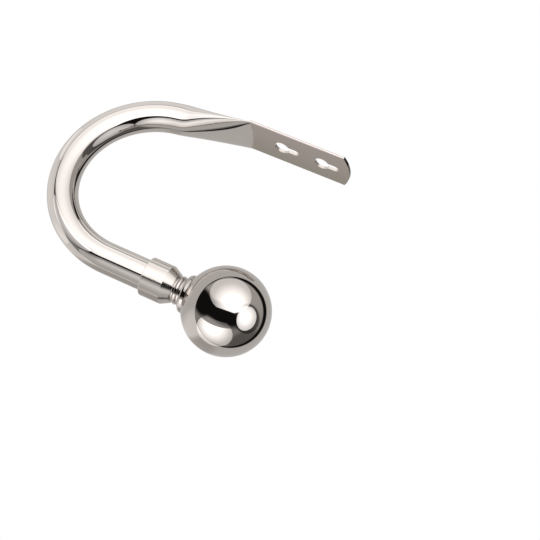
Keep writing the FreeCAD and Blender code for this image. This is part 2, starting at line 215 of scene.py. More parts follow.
@dataclass(frozen=True, kw_only=True)
class Finish:
    """A metal finish: colour, shine and the fine relief that breaks its reflections."""

    name: str
    colour: Colour
    shade: Colour
    roughness: float
    cloud: float
    relief: float
    mottle_scale: float = 90.0
    mottle_detail: float = 4.0
    peel_scale: float = 420.0
    peel_detail: float = 1.0

    def material(self) -> bpy.types.Material:
        """Build the finish's material.

        Returns:
            A procedural metal on Object coordinates.
        """
        made = bpy.data.materials.new(self.name)
        made.use_nodes = True
        graph = Graph(made.node_tree)
        place = graph.out("ShaderNodeTexCoord", output="Object")
        mottle = graph.noise(place, self.mottle_scale, self.mottle_detail)
        colour = self.tint(graph, place, graph.mix(mottle, self.colour, self.shade))
        roughness = self.shine(graph, place, mottle)
        height = self.height(graph, place)
        bump = graph.out("ShaderNodeBump", None, {"Strength": 1.0, "Distance": self.relief, "Height": height})
        metal = graph.out(
            "ShaderNodeBsdfPrincipled",
            None,
            {"Base Color": colour, "Metallic": 1.0, "Roughness": roughness, "Normal": bump},
        )
        graph.node("ShaderNodeOutputMaterial", None, {"Surface": metal})
        return made

    def tint(self, graph: Graph, place: Sock, colour: Sock) -> Sock:
        """Return the colour over the surface: even plate."""
        return colour

    def shine(self, graph: Graph, place: Sock, mottle: Sock) -> Sock:
        """Return the roughness over the surface: a clouded polish."""
        return mottle * self.cloud + (self.roughness - self.cloud / 2)

    def height(self, graph: Graph, place: Sock) -> Sock:
        """Return the fine relief: the faint orange peel of a plated surface."""
        return graph.noise(place, self.peel_scale, self.peel_detail)


@dataclass(frozen=True, kw_only=True)
class PressedTubeFinish(Finish):
    """Polished plate on the tube, duller where its end was pressed flat, with painted shading on the tab and a
    painted shade line at its cut end.
    """

    crease_x: float
    tab_half: float
    tab_depth: float
    end_x: float
    end_radius: float
    satin: float
    # The tab's tint as painted shading: high at its top edge, low at its bottom edge.
    high: Colour
    low: Colour
    # Painted shade: the dark colour of the cut end's face.
    painted_end_shade: Colour = (0.10, 0.09, 0.085)
    crease_blur: float = 2.0 * MM
    tab_side: tuple[float, float] = (-4.0, -3.0)  # in tab depths from the wall
    tone_scale: float = 130.0
    tone_detail: float = 3.0
    cut_from: float = 0.06 * MM  # inside the arched end
    cut_full: float = 0.02 * MM
    cut_blur: float = 1.0 * MM

    def pressed(self, graph: Graph, place: Sock) -> Sock:
        """Mark the flat tab.

        Args:
            graph: the material's graph.
            place: the place on the surface.

        Returns:
            1 on the flat tab and 0 on the round tube.
        """
        past_crease = graph.edge(graph.along(place, X_AXIS), self.crease_x, self.crease_blur)
        far, near = (depths * self.tab_depth for depths in self.tab_side)
        return past_crease * graph.step(graph.along(place, Y_AXIS), far, near)

    def tint(self, graph: Graph, place: Sock, colour: Sock) -> Sock:
        """Add the tab's tint with painted shading, lighter at its top and darker at its bottom, and a painted
        shade line at the cut end.

        Args:
            graph: the material's graph.
            place: the place on the surface.
            colour: the plate's colour.

        Returns:
            The colour over the surface.
        """
        across, rise = graph.along(place, X_AXIS), graph.along(place, Z_AXIS)
        cloud = graph.noise(place, self.tone_scale, self.tone_detail) * self.tab_half - 0.5 * self.tab_half
        # Painted shading: the tab's colour runs from low at the bottom to high at the top, along a wavy border.
        height = graph.step(rise + cloud, -self.tab_half, self.tab_half)
        colour = graph.mix(self.pressed(graph, place), colour, graph.mix(height, self.low, self.high))
        # Painted shade: a dark line on the cut end's face and just inside its edge.
        run = across - (self.end_x - self.end_radius)
        reach = graph.distance(run, rise)
        end_shade_mask = graph.step(reach, self.end_radius - self.cut_from, self.end_radius - self.cut_full)
        return graph.mix(end_shade_mask * graph.step(run, 0.0, self.cut_blur), colour, self.painted_end_shade)

    def shine(self, graph: Graph, place: Sock, mottle: Sock) -> Sock:
        """Return the roughness: clouded polish, and satin on the tab."""
        return super().shine(graph, place, mottle) + self.pressed(graph, place) * self.satin


@dataclass(frozen=True, kw_only=True)
class TurnedFinish(Finish):
    """Satin metal with fine turning lines round an axis."""

    axis: tuple[float, float, float]
    line_scale: float = 2600.0
    line_detail: float = 3.0
    line_share: float = 0.7
    band_scale: float = 520.0
    band_detail: float = 1.0
    band_share: float = 0.3
    shine_scale: float = 1820.0
    shine_detail: float = 2.0

    def height(self, graph: Graph, place: Sock) -> Sock:
        """Add up fine turning lines and broader bands.

        Args:
            graph: the material's graph.
            place: the place on the surface.

        Returns:
            The relief as a height.
        """
        along = graph.along(place, self.axis)
        fine = graph.lines(along, self.line_scale, self.line_detail)
        broad = graph.lines(along, self.band_scale, self.band_detail)
        return fine * self.line_share + broad * self.band_share

    def shine(self, graph: Graph, place: Sock, mottle: Sock) -> Sock:
        """Return a roughness that changes from line to line."""
        line = graph.lines(graph.along(place, self.axis), self.shine_scale, self.shine_detail)
        return super().shine(graph, place, mottle) + (line - 0.5) * self.cloud


# Modelling by hand


class Bench:
    """Edit-mode helpers that act on one piece at a time."""

    @staticmethod
    def clear() -> None:
        """Leave edit mode and deselect everything."""
        if bpy.context.object and bpy.context.object.mode != "OBJECT":
            bpy.ops.object.mode_set(mode="OBJECT")
        bpy.ops.object.select_all(action="DESELECT")

    @staticmethod
    def take(piece: bpy.types.Object) -> None:
        """Select one piece and make it active.

        Args:
            piece: the piece to work on.
        """
        Bench.clear()
        piece.select_set(True)
        bpy.context.view_layer.objects.active = piece

    @staticmethod
    def edit(piece: bpy.types.Object, mode: str = "VERT") -> None:
        """Open one piece in edit mode with nothing selected.

        Args:
            piece: the piece to open.
            mode: what is selected in it, VERT or EDGE.
        """
        Bench.take(piece)
        bpy.ops.object.mode_set(mode="EDIT")
        bpy.ops.mesh.select_mode(type=mode)
        bpy.ops.mesh.select_all(action="DESELECT")

    @staticmethod
    def pick(piece: bpy.types.Object, test: Callable[[Vector], bool]) -> None:
        """Select vertices by their place, from edit mode.

        Args:
            piece: the open piece.
            test: says whether the vertex at a place is wanted.
        """
        bpy.ops.mesh.select_all(action="DESELECT")
        bpy.ops.object.mode_set(mode="OBJECT")
        for vertex in piece.data.vertices:
            vertex.select = test(vertex.co)
        bpy.ops.object.mode_set(mode="EDIT")

    @staticmethod
    def close() -> None:
        """Merge doubles, turn the faces outwards and leave edit mode."""
        bpy.ops.mesh.select_all(action="SELECT")
        bpy.ops.mesh.remove_doubles(threshold=SAME_POINT)
        bpy.ops.mesh.normals_make_consistent(inside=False)
        bpy.ops.object.mode_set(mode="OBJECT")

    @staticmethod
    def combine(piece: bpy.types.Object, tool: bpy.types.Object, operation: str) -> None:
        """Apply a boolean with a tool and delete the tool.

        Args:
            piece: the piece that stays.
            tool: the shape that is added to it or cut from it.
            operation: UNION or DIFFERENCE.
        """
        Bench.take(piece)
        boolean = piece.modifiers.new("combine", "BOOLEAN")
        boolean.operation = operation
        boolean.solver = "EXACT"
        boolean.object = tool
        bpy.ops.object.modifier_apply(modifier=boolean.name)
        bpy.data.objects.remove(tool, do_unlink=True)

    @staticmethod
    def smooth(piece: bpy.types.Object, angle: float) -> None:
        """Smooth the shading, with the large faces kept flat.

        Args:
            piece: the finished mesh.
            angle: edges that turn by more stay sharp.
        """
        Bench.take(piece)
        bpy.ops.object.shade_smooth_by_angle(angle=angle)
        weighted = piece.modifiers.new("flat_faces", "WEIGHTED_NORMAL")
        weighted.keep_sharp = True
        bpy.ops.object.modifier_apply(modifier=weighted.name)


def dress(piece: bpy.types.Object, material: bpy.types.Material, node: str) -> None:
    """Give a finished piece its material and body, hide the CAD node that it stands for, and report it.

    Args:
        piece: the finished piece.
        material: what it is made of.
        node: the CAD node that it stands for.
    """
    piece.data.materials.clear()
    piece.data.materials.append(material)
    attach(piece, ROOT_BODY)
    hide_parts(node)
    LOG.info("%s: %d faces", piece.name, len(piece.data.polygons))


# The bent tube


@dataclass
class ArmTube:
    """The U-bent tube with its flattened keyhole tab."""

    name: str = "bent_tube"
    node: str = "arm_tube"
    slot: Slot = Slot.POLISHED
    radius: float = 8.0 * MM
    wall: float = 0.75 * MM
    lean: float = math.radians(10.5)
    splay: float = math.radians(1.5)
    leg_run: float = 2.0 * MM
    bend_radius: float = 45.0 * MM
    front_leg: float = 67.3 * MM  # from the bend to the ball's centre
    tube_end: float = 33.9 * MM  # from the ball's centre back to the tube's open end
    bore_depth: float = 16.0 * MM
    flatten_length: float = 38.0 * MM
    ease: float = 0.85  # share of the flattening with an even change
    sunk: float = -0.05  # station inside the tab at which the tube ends
    sunk_inset: float = 0.1 * MM
    wall_setoff: float = 0.3 * MM
    tab_length: float = 55.0 * MM
    end_sagitta: float = 3.2 * MM
    crease_rise: float = 3.0 * MM
    edge_share: float = 0.498  # of the tab's depth that each edge's rounding takes
    keyhole_entry: float = 8.0 * MM
    keyhole_slot: float = 4.0 * MM
    keyhole_reach: float = 7.3 * MM
    keyhole_pitch: float = 22.4 * MM
    crease_to_entry: float = 17.0 * MM
    ring_points: int = 128
    bend_steps: int = 120
    flatten_steps: int = 48
    end_points: int = 512
    edge_steps: int = 14
    keyhole_points: int = 96
    smooth_angle: float = math.radians(40.0)
    ring_slack: float = 0.01 * MM
    corner_slack: float = 0.001 * MM
    edge_slack: float = 0.05 * MM
    cut_slack: float = 0.0001 * MM
    flat_angle: float = math.radians(0.01)

    @property
    def crease_x(self) -> float:
        """Place of the crease along the wall."""
        return -(self.crease_to_entry + self.keyhole_pitch / 2)

    @property
    def tab_depth(self) -> float:
        """Depth of the tab, which is the tube's wall twice."""
        return 2 * self.wall

    @property
    def tab_half(self) -> float:
        """Half the tab's width, which follows from the tube's girth."""
        return math.pi * (self.radius - self.wall) / 2 + self.wall

    @property
    def arm_leg(self) -> float:
        """Length from the crease to the bend."""
        return self.flatten_length + self.leg_run

    @property
    def end_x(self) -> float:
        """Place of the tab's free end."""
        return self.crease_x + self.tab_length

    @property
    def end_radius(self) -> float:
        """Radius of the tab's arched end."""
        return (self.tab_half ** 2 + self.end_sagitta ** 2) / (2 * self.end_sagitta)

    @property
    def bend_turn(self) -> float:
        """Angle of the bend."""
        return math.pi - self.lean - self.splay

    @property
    def crease(self) -> Vector:
        """Point of the arm's centre line at the crease."""
        return Vector((self.crease_x, -(self.wall + self.wall_setoff), 0.0))

    @property
    def leg_direction(self) -> Vector:
        """Direction of the front leg, from the bend to the ball."""
        return Vector((math.cos(self.splay), -math.sin(self.splay), 0.0))

    @property
    def ball_centre(self) -> Vector:
        """Follow the arm's centre line from the crease.

        Returns:
            The centre of the ball at the end of the front leg.
        """
        start = self.crease - self.arm_leg * Vector((math.cos(self.lean), math.sin(self.lean), 0.0))
        centre = start + self.bend_radius * Vector((math.sin(self.lean), -math.cos(self.lean), 0.0))
        end = centre - self.bend_radius * Vector((math.sin(self.splay), math.cos(self.splay), 0.0))
        return end + self.front_leg * self.leg_direction

    def roundness(self, station: float) -> float:
        """Tell how round the tube is: an even change that eases into the full tube.

        Args:
            station: 0 at the crease and 1 where the flattening starts.

        Returns:
            0 for the flat tab and 1 for the full tube.
        """
        slope = 2 / (1 + self.ease)
        if station <= self.ease:
            return slope * station
        return 1 - (1 - station) ** 2 * slope / (2 * (1 - self.ease))

    def section(self, station: float) -> Point:
        """Measure the flattened tube.

        Args:
            station: 0 at the crease and 1 where the flattening starts.

        Returns:
            Half its width and half its depth.
        """
        roundness = self.roundness(station)
        inset = self.sunk_inset if station <= 0 else 0.0
        half_width = self.tab_half - (self.tab_half - self.radius) * roundness ** 2 - inset
        return half_width, self.wall + (self.radius - self.wall) * roundness - inset

    def build_tube(self) -> bpy.types.Object:
        """Spin the bend, run out the front leg and flatten the wall leg.

        Returns:
            The tube as a closed mesh, in the part's frame.
        """
        Bench.clear()
        bpy.ops.mesh.primitive_circle_add(
            vertices=self.ring_points,
            radius=self.radius,
            location=(-self.arm_leg, 0.0, 0.0),
            rotation=(0.0, math.pi / 2, 0.0),
        )
        tube = bpy.context.object
        bpy.ops.object.transform_apply(location=True, rotation=True)
        Bench.edit(tube)
        bpy.ops.mesh.select_all(action="SELECT")
        centre = Vector((-self.arm_leg, -self.bend_radius, 0.0))
        # With no window, spin turns the other way round its axis.
        bpy.ops.mesh.spin(steps=self.bend_steps, angle=self.bend_turn, center=centre, axis=(0.0, 0.0, -1.0))
        bend = Matrix.Rotation(self.bend_turn, 3, "Z")
        leg = bend @ Vector((-1.0, 0.0, 0.0))
        straight = leg * (self.front_leg - self.tube_end)
        self._run(straight)
        end = centre + bend @ Vector((0.0, self.bend_radius, 0.0)) + straight
        bore = (self.radius - self.wall) / self.radius
        self._run(Vector())
        bpy.ops.transform.resize(value=(bore, bore, bore), center_override=end)
        self._run(-leg * self.bore_depth)
        bpy.ops.mesh.edge_face_add()
        self._flatten(tube)
        Bench.close()
        tube.location = self.crease
        tube.rotation_euler = (0.0, 0.0, self.lean)
        Bench.take(tube)
        bpy.ops.object.transform_apply(location=True, rotation=True)
        return tube

    @staticmethod
    def _run(shift: Vector) -> None:
        """Extrude the selected ring by a shift."""
        bpy.ops.mesh.extrude_region_move(TRANSFORM_OT_translate={"value": shift})

    def _flatten(self, tube: bpy.types.Object) -> None:
        """Extrude the wall end ring by ring, each flatter and wider than the last.

        Args:
            tube: the open tube, with the arm's leg along X.
        """
        at = -self.arm_leg
        Bench.pick(tube, lambda place: abs(place.x - at) < self.ring_slack and place.y > -2 * self.radius)
        width, depth = self.radius, self.radius
        for step in range(self.flatten_steps + 1):
            station = 1.0 - (1.0 - self.sunk) * step / self.flatten_steps
            target = -station * self.flatten_length
            self._run(Vector((target - at, 0.0, 0.0)))
            next_width, next_depth = self.section(station)
            bpy.ops.transform.resize(
                value=(1.0, next_depth / depth, next_width / width),
                center_override=(target, 0.0, 0.0),
            )
            at, width, depth = target, next_width, next_depth
        bpy.ops.mesh.edge_face_add()

    def build_tab(self) -> bpy.types.Object:
        """Model the flat tab: an arched end, fully rounded long edges and two keyholes.

        Returns:
            The tab as a closed mesh, in the part's frame.
        """
        corner_x = self.end_x - self.end_sagitta
        Bench.clear()
        bpy.ops.mesh.primitive_circle_add(
            vertices=self.end_points,
            radius=self.end_radius,
            fill_type="NGON",
            location=(self.end_x - self.end_radius, 0.0, 0.0),
            rotation=(math.pi / 2, 0.0, 0.0),
        )
        tab = bpy.context.object
        bpy.ops.object.transform_apply(location=True, rotation=True)
        Bench.edit(tab)
        bpy.ops.mesh.select_all(action="SELECT")
        bpy.ops.mesh.bisect(
            plane_co=(corner_x, 0.0, 0.0), plane_no=X_AXIS, clear_inner=True, threshold=self.cut_slack
        )
        Bench.pick(tab, lambda place: abs(place.x - corner_x) < self.corner_slack)
        length = corner_x - (self.crease_x - self.crease_rise / 2)
        bpy.ops.mesh.extrude_edges_move(TRANSFORM_OT_translate={"value": (-length, 0.0, 0.0)})
        bpy.ops.mesh.select_all(action="SELECT")
        bpy.ops.mesh.dissolve_limited(angle_limit=self.flat_angle)
        bpy.ops.mesh.select_all(action="SELECT")
        self._run(Vector((0.0, -self.tab_depth, 0.0)))
        Bench.close()
        self._round_edges(tab)
        for entry_x in (-self.keyhole_pitch / 2, self.keyhole_pitch / 2):
            Bench.combine(tab, self._keyhole(entry_x), "DIFFERENCE")
        return tab

    def _round_edges(self, tab: bpy.types.Object) -> None:
        """Round the tab's long edges over its whole depth.

        Args:
            tab: the tab with square edges.
        """
        Bench.edit(tab, "EDGE")
        bpy.ops.object.mode_set(mode="OBJECT")
        mesh = tab.data
        for edge in mesh.edges:
            first, second = (mesh.vertices[number].co for number in edge.vertices)
            lengthwise = abs(second.x - first.x) > self.tab_length / 2
            edge.select = lengthwise and abs(first.z) > self.tab_half - self.edge_slack
        bpy.ops.object.mode_set(mode="EDIT")
        offset = self.edge_share * self.tab_depth
        bpy.ops.mesh.bevel(offset=offset, segments=self.edge_steps, profile=0.5, affect="EDGES")
        Bench.close()

    def _keyhole(self, entry_x: float) -> bpy.types.Object:
        """Model one keyhole cutter from an entry disc drawn out into a slot.

        Args:
            entry_x: place of the entry's centre along the wall.

        Returns:
            The cutter, longer than the tab is deep.
        """
        depth = 3 * self.tab_depth
        middle_y = -self.tab_depth / 2
        slot_x = entry_x + self.keyhole_reach
        cutters = []
        for place_x, width in ((entry_x, self.keyhole_entry), (slot_x, self.keyhole_slot)):
            Bench.clear()
            bpy.ops.mesh.primitive_cylinder_add(
                vertices=self.keyhole_points,
                radius=width / 2,
                depth=depth,
                location=(place_x, middle_y, 0.0),
                rotation=(math.pi / 2, 0.0, 0.0),
            )
            cutters.append(bpy.context.object)
        Bench.clear()
        bpy.ops.mesh.primitive_cube_add(
            size=1.0,
            location=((entry_x + slot_x) / 2, middle_y, 0.0),
            scale=(self.keyhole_reach, depth, self.keyhole_slot),
        )
        cutters.append(bpy.context.object)
        for cutter in cutters:
            Bench.take(cutter)
            bpy.ops.object.transform_apply(location=True, rotation=True, scale=True)
        whole = cutters[0]
        for cutter in cutters[1:]:
            Bench.combine(whole, cutter, "UNION")
        return whole

    def build(self, material: bpy.types.Material) -> bpy.types.Object:
        """Join tube and tab, and dress them.

        Args:
            material: the plate on the tube.

        Returns:
            The finished piece.
        """
        tube = self.build_tube()
        tube.name = self.name
        Bench.combine(tube, self.build_tab(), "UNION")
        Bench.smooth(tube, self.smooth_angle)
        dress(tube, material, self.node)
        return tube


# Turned pieces on the front leg


@dataclass
class TurnedPiece:
    """A piece turned about the front leg, with stations counted from the ball's centre to the tube."""

    centre: Vector
    direction: Vector
    name: str
    node: str
    slot: Slot
    spin_steps: int = 160
    smooth_angle: float = math.radians(18.0)

    def outline(self) -> list[Point]:
        """Return the closed half section as (station, radius) points."""
        raise NotImplementedError

    @staticmethod
    def arc(start: Point, end: Point, centre: Point, steps: int) -> Iterator[Point]:
        """Walk along an arc, without its last point.

        Args:
            start: where the arc starts.
            end: where it ends.
            centre: what it goes round.
            steps: how many points it gets.

        Yields:
            The arc's points, from the start on.
        """
        first = math.atan2(start[1] - centre[1], start[0] - centre[0])
        last = math.atan2(end[1] - centre[1], end[0] - centre[0])
        radius = math.hypot(start[0] - centre[0], start[1] - centre[1])
        for step in range(steps):
            angle = first + (last - first) * step / steps
            yield centre[0] + radius * math.cos(angle), centre[1] + radius * math.sin(angle)

    def place(self, station: float, radius: float) -> Vector:
        """Return a point of the section in the part's frame."""
        return self.centre - self.direction * station + Vector((0.0, 0.0, radius))

    def build(self, material: bpy.types.Material) -> bpy.types.Object:
        """Draw the outline point by point, spin it and dress the piece.

        Args:
            material: what the piece is made of.

        Returns:
            The finished piece.
        """
        points = [self.place(*point) for point in self.outline()]
        Bench.clear()
        bpy.ops.mesh.primitive_plane_add(size=MM, location=points[0])
        piece = bpy.context.object
        piece.name = self.name
        bpy.ops.object.transform_apply(location=True)
        Bench.edit(piece)
        bpy.ops.mesh.select_all(action="SELECT")
        bpy.ops.mesh.merge(type="CENTER")
        for before, after in zip(points, points[1:]):
            bpy.ops.mesh.extrude_vertices_move(TRANSFORM_OT_translate={"value": after - before})
        ends = (points[0], points[-1])
        Bench.pick(piece, lambda spot: any((spot - end).length < SAME_POINT for end in ends))
        bpy.ops.mesh.edge_face_add()
        bpy.ops.mesh.select_all(action="SELECT")
        bpy.ops.mesh.spin(steps=self.spin_steps, angle=2 * math.pi, center=self.centre, axis=self.direction)
        Bench.close()
        Bench.smooth(piece, self.smooth_angle)
        dress(piece, material, self.node)
        return piece


@dataclass
class EndCollar(TurnedPiece):
    """Satin collar over the tube's end, with a conical shoulder."""

    name: str = "collar"
    node: str = "end_collar"
    slot: Slot = Slot.SATIN
    bore: float = 8.05 * MM
    radius: float = 10.0 * MM
    stud_hole: float = 3.2 * MM
    tip: float = 28.37 * MM
    tip_radius: float = 7.6 * MM
    cone_length: float = 4.5 * MM
    length: float = 11.5 * MM
    edge: float = 0.4 * MM
    stop: float = 1.0 * MM
    edge_steps: int = 6

    def outline(self) -> list[Point]:
        """Draw the cone, the rounded rim and the stepped bore.

        Returns:
            The collar's half section.
        """
        base = self.tip + self.cone_length
        rim = base + self.length
        inner = self.radius - self.edge
        start = (rim - self.edge, self.radius)
        return [
            (self.tip, self.stud_hole),
            (self.tip, self.tip_radius),
            (base, self.radius),
            *self.arc(start, (rim, inner), (rim - self.edge, inner), self.edge_steps),
            (rim, inner),
            (rim, self.bore),
            (base + self.stop, self.bore),
            (base + self.stop, self.stud_hole),
        ]


@dataclass
class FinialNeck(TurnedPiece):
    """Polished neck with a rounded flange, two beads and a ring."""

    name: str = "beaded_neck"
    node: str = "finial_neck"
    slot: Slot = Slot.POLISHED
    ball_radius: float = 22.53 * MM
    flange_radius: float = 10.0 * MM
    rim: float = 0.9 * MM
    flange_round: float = 2.3 * MM
    core: float = 6.4 * MM
    bead_widths: tuple[float, ...] = (1.6 * MM, 2.1 * MM, 1.0 * MM)
    land: float = 0.25 * MM
    stud_hole: float = 3.2 * MM
    bead_steps: int = 24
    seat_steps: int = 16

    def seat(self, radius: float) -> float:
        """Return the station of the ball's surface at a radius."""
        return math.sqrt(self.ball_radius ** 2 - radius ** 2)

    def outline(self) -> list[Point]:
        """Draw the flange, the beads one by one, the bore and the hollow seat on the ball.

        Returns:
            The neck's half section.
        """
        edge = self.seat(self.flange_radius)
        crown = (edge + self.rim, self.flange_radius)
        back = (crown[0] + self.flange_round, self.flange_radius - self.flange_round)
        points = [(edge, self.flange_radius)]
        points += self.arc(crown, back, (crown[0], back[1]), self.bead_steps)
        points.append(back)
        station = back[0]
        for width in self.bead_widths:
            middle = (station + width / 2, self.core)
            points += self.arc((station, self.core), (station + width, self.core), middle, self.bead_steps)
            station += width
        points += [
            (station, self.core),
            (station + self.land, self.core),
            (station + self.land, self.stud_hole),
        ]
        hole = (self.seat(self.stud_hole), self.stud_hole)
        points += self.arc(hole, (edge, self.flange_radius), (0.0, 0.0), self.seat_steps)
        return points


@dataclass
class FinialBall(TurnedPiece):
    """Hollow polished ball with one hole."""

    name: str = "ball"
    node: str = "finial_ball"
    slot: Slot = Slot.POLISHED
    spin_steps: int = 192
    radius: float = 22.5 * MM
    wall: float = 1.2 * MM
    hole: float = 4.55 * MM
    outer_steps: int = 128
    inner_steps: int = 64

    def outline(self) -> list[Point]:
        """Draw the shell outside and inside, closed on the axis at its far side.

        Returns:
            The shell's half section.
        """
        inner = self.radius - self.wall
        mouth = (math.sqrt(self.radius ** 2 - self.hole ** 2), self.hole)
        throat = (math.sqrt(inner ** 2 - self.hole ** 2), self.hole)
        return [
            *self.arc(mouth, (-self.radius, 0.0), (0.0, 0.0), self.outer_steps),
            (-self.radius, 0.0),
            *self.arc((-inner, 0.0), throat, (0.0, 0.0), self.inner_steps),
            throat,
        ]


# Studio


@dataclass(frozen=True)
class PhotoCamera:
    """The camera at the photograph's angle, with the crease at its place in the picture."""

    crease: Vector
    azimuth: float = math.radians(29.98)
    elevation: float = math.radians(55.84)
    roll: float = math.radians(-3.91)
    distance: float = 1.3
    image_scale: float = 1.955 / MM
    image_size: float = 540.0
    crease_pixel: Point = (253.57, 133.90)
    sensor: float = 36.0
    clip_end: float = 50.0

    @property
    def axes(self) -> tuple[Vector, Vector, Vector]:
        """Work out how the camera is turned when it looks at the crease.

        Returns:
            The camera's right, up and back.
        """
        sin_a, cos_a = math.sin(self.azimuth), math.cos(self.azimuth)
        sin_e, cos_e = math.sin(self.elevation), math.cos(self.elevation)
        right = Vector((cos_a, sin_a, 0.0))
        up = Vector((-sin_a * sin_e, cos_a * sin_e, cos_e))
        back = Vector((sin_a * cos_e, -cos_a * cos_e, sin_e))
        tilted_right = math.cos(self.roll) * right + math.sin(self.roll) * up
        tilted_up = math.cos(self.roll) * up - math.sin(self.roll) * right
        return tilted_right, tilted_up, back

    def build(self) -> None:
        """Stand the camera where the photograph was taken, and frame the part as it is there."""
        right, up, back = self.axes
        middle = self.image_size / 2
        aim = self.crease + right * (middle - self.crease_pixel[0]) / self.image_scale
        aim -= up * (middle - self.crease_pixel[1]) / self.image_scale
        stand = self.crease + back * self.distance
        gaze = (stand - aim).normalized()
        side = (right - gaze * right.dot(gaze)).normalized()
        turn = Matrix((side, gaze.cross(side), gaze)).transposed()
        lens = bpy.data.cameras.new("photo_camera")
        lens.sensor_width = self.sensor
        lens.lens = self.image_scale * self.distance / self.image_size * self.sensor
        lens.clip_end = self.clip_end
        camera = bpy.data.objects.new("photo_camera", lens)
        camera.matrix_world = Matrix.Translation(stand) @ turn.to_4x4()
        bpy.context.collection.objects.link(camera)
        bpy.context.scene.camera = camera


@dataclass(frozen=True)
class Patch:
    """A soft-edged oval in the studio's picture on a mirror ball of radius 1 that faces the camera."""

    centre: Point
    reach: Point
    core: float
    edge: float
    turn: float = 0.0
    depth: float = 1.0

    def mask(self, graph: Graph, across: Sock, rise: Sock) -> Sock:
        """Mark the patch.

        Args:
            graph: the world's graph.
            across: place on the mirror ball, to the right.
            rise: place on the mirror ball, upwards.

        Returns:
            The patch's depth inside it and 0 outside it.
        """
        cosine, sine = math.cos(self.turn), math.sin(self.turn)
        from_x, from_y = across - self.centre[0], rise - self.centre[1]
        length = (from_x * cosine + from_y * sine) * (1 / self.reach[0])
        width = (from_y * cosine - from_x * sine) * (1 / self.reach[1])
        return (1.0 - graph.step(length * length + width * width, self.core, self.edge)) * self.depth


@dataclass(frozen=True)
class Surroundings:
    """Pale paper round a grey tent with dark gaps, drawn as a mirror ball shows them."""

    paper: Colour = (0.60, 0.585, 0.57)
    bright_paper: Colour = (0.86, 0.84, 0.82)
    dim_paper: Colour = (0.47, 0.45, 0.43)
    tent: Colour = (0.47, 0.45, 0.43)
    tent_foot: Colour = (0.24, 0.228, 0.215)
    gloom: Colour = (0.008, 0.007, 0.007)
    paper_edge: float = 0.775
    paper_shift: float = 0.105
    paper_blur: float = 0.006
    tent_edge: float = 0.735
    tent_shift: float = 0.07
    tent_blur: float = 0.012
    tent_slant: float = 0.2
    tent_fade: Point = (-0.6, 0.4)
    shades: tuple[Patch, ...] = (
        Patch((-0.13, 0.0), (0.60, 0.23), core=0.45, edge=1.2, turn=math.radians(-31)),
        Patch((-0.50, 0.22), (0.22, 0.34), core=0.5, edge=1.3, turn=math.radians(10)),
        Patch((0.45, -0.14), (0.27, 0.33), core=0.9, edge=1.1, depth=0.75),
        Patch((0.35, -0.60), (0.40, 0.20), core=0.3, edge=1.2, turn=math.radians(28), depth=0.5),
    )
    paper_glow: Patch = Patch((-0.70, -0.34), (0.26, 0.46), core=0.1, edge=1.0)
    paper_shade: Patch = Patch((-0.50, -0.76), (0.36, 0.30), core=0.1, edge=1.0)

    def build(self, axes: tuple[Vector, Vector, Vector]) -> None:
        """Draw the world, with white behind the part as the camera sees it.

        Args:
            axes: right, up and back of the photograph's camera.
        """
        world = bpy.data.worlds.new("studio")
        bpy.context.scene.world = world
        world.use_nodes = True
        graph = Graph(world.node_tree)
        right, up, back = axes
        gaze = graph.out("ShaderNodeTexCoord", output="Generated")
        halfway = graph.out("ShaderNodeVectorMath", {"operation": "ADD"}, {0: gaze, 1: tuple(back)})
        mirror = graph.out("ShaderNodeVectorMath", {"operation": "NORMALIZE"}, {0: halfway})
        across, rise = graph.along(mirror, right), graph.along(mirror, up)
        height = graph.step(rise + across * self.tent_slant, *self.tent_fade)
        tent = graph.mix(height, self.tent_foot, self.tent)
        for shade in self.shades:
            tent = graph.mix(shade.mask(graph, across, rise), tent, self.gloom)
        paper = graph.mix(self.paper_glow.mask(graph, across, rise), self.paper, self.bright_paper)
        paper = graph.mix(self.paper_shade.mask(graph, across, rise), paper, self.dim_paper)
        past_gap = graph.edge(graph.distance(across - self.paper_shift, rise), self.paper_edge, self.paper_blur)
        past_tent = graph.edge(graph.distance(across - self.tent_shift, rise), self.tent_edge, self.tent_blur)
        studio = graph.mix(past_tent, tent, graph.mix(past_gap, self.gloom, paper))
        colour = graph.mix(graph.camera_ray(), studio, WHITE)
        light = graph.out("ShaderNodeBackground", None, {"Color": colour, "Strength": 1.0})
        graph.node("ShaderNodeOutputWorld", None, {"Surface": light})


@dataclass(frozen=True)
class Flag:
    """A straight black card over one side of a softbox, with a veil along its edge where it has one."""

    turn: float
    edge: float
    veil_width: float = 0.0
    veil: float = 0.0
    blur: float = 0.012

    def cut(self, graph: Graph, spot: Sock, glow: Sock) -> Sock:
        """Take away what the card hides.

        Args:
            graph: the lamp's graph.
            spot: place on the lamp, 0 to 1 each way.
            glow: the lamp's glow without the card.

        Returns:
            The glow that is left.
        """
        across, rise = math.cos(self.turn), math.sin(self.turn)
        past = graph.along(spot, (2 * across, 2 * rise, 0.0)) - (across + rise)
        glow = graph.mix(graph.edge(past, self.edge, self.blur), glow, (self.veil,) * 3)
        return graph.mix(graph.edge(past, self.edge + self.veil_width, self.blur), glow, BLACK)


